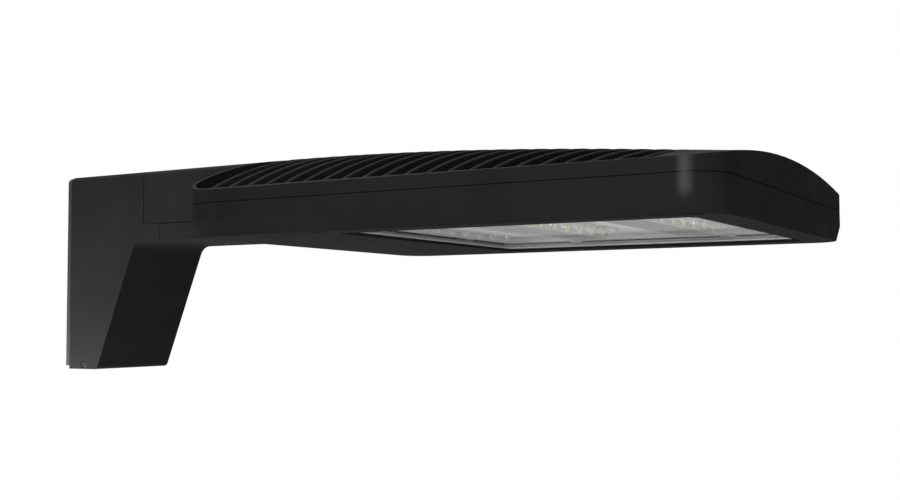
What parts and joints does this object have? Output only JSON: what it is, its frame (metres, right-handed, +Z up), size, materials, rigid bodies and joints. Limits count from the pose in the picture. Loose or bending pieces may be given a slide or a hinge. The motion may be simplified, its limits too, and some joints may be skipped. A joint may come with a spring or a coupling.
{
  "type": "shoebox area light",
  "caption": "Pole-mounted area light: finned crowned head on a hollow bracket arm, with a drop-down glazed door over slanted LED rails and their driver.",
  "frame": {"origin": "centre of the pole mounting face, between the two pole bolts", "axes": "+X from the pole to the front of the head, +Y to one side, +Z up; the object is symmetric about Y = 0"},
  "size_m": [0.664, 0.343, 0.1804],
  "materials": {
    "black_casting": "satin black powder coat with a fine texture, on die-cast aluminium",
    "black_rubber": "matt black silicone rubber",
    "grey_rail": "grey paint on extruded aluminium",
    "light_panel": "light grey satin paint on aluminium sheet",
    "board": "white solder mask on an aluminium board",
    "phosphor": "pale yellow-green LED phosphor",
    "clear_lens": "clear moulded acrylic",
    "clear_glass": "clear tempered flat glass",
    "stainless": "bright stainless steel",
    "zinc": "zinc-plated steel",
    "driver_case": "plain grey case",
    "black_plastic": "black moulded plastic",
    "cream_plastic": "cream moulded plastic",
    "green_screw": "green ground screw",
    "black_screw": "black coated steel"
  },
  "bodies": {
    "fixture": {"pole_gasket": "black_rubber", "arm_casting": "black_casting", "wire_grommet": "black_rubber", "arm_cover": "black_casting", "arm_cover_screws": "black_screw", "neck_gasket": "black_rubber", "neck_washers": "stainless", "neck_bolts": "stainless", "housing_neck": "black_casting", "heat_sink_housing": "black_casting", "housing_seal": "black_rubber", "led_rail_front": "grey_rail", "led_rail_middle": "grey_rail", "led_rail_rear": "grey_rail", "led_board_front": "board", "led_board_middle": "board", "led_board_rear": "board", "led_chips_front": "phosphor", "led_chips_middle": "phosphor", "led_chips_rear": "phosphor", "lens_strip_front": "clear_lens", "lens_strip_middle": "clear_lens", "lens_strip_rear": "clear_lens", "reflector_panel": "light_panel", "panel_screws": "zinc", "rail_screws": "zinc", "driver_plate": "zinc", "driver_plate_screws": "zinc", "led_driver": "driver_case", "driver_screws": "zinc", "surge_protector": "black_plastic", "surge_protector_screws": "zinc", "terminal_block": "cream_plastic", "terminal_block_screws": "zinc", "terminal_screws": "zinc", "ground_screw": "green_screw", "hinge_pins": "stainless"},
    "door": {"door_frame": "black_casting", "lens_glass": "clear_glass", "glass_gasket": "black_rubber", "glass_clips": "stainless", "glass_clip_screws": "stainless", "door_screws": "stainless"}
  },
  "joints": [
    {"name": "door_hinge", "type": "hinge", "parent": "fixture", "child": "door", "pos_m": [0.1181, 0, 0.03], "axis": [0, 1, 0], "range_deg": [0, 85]}
  ]
}
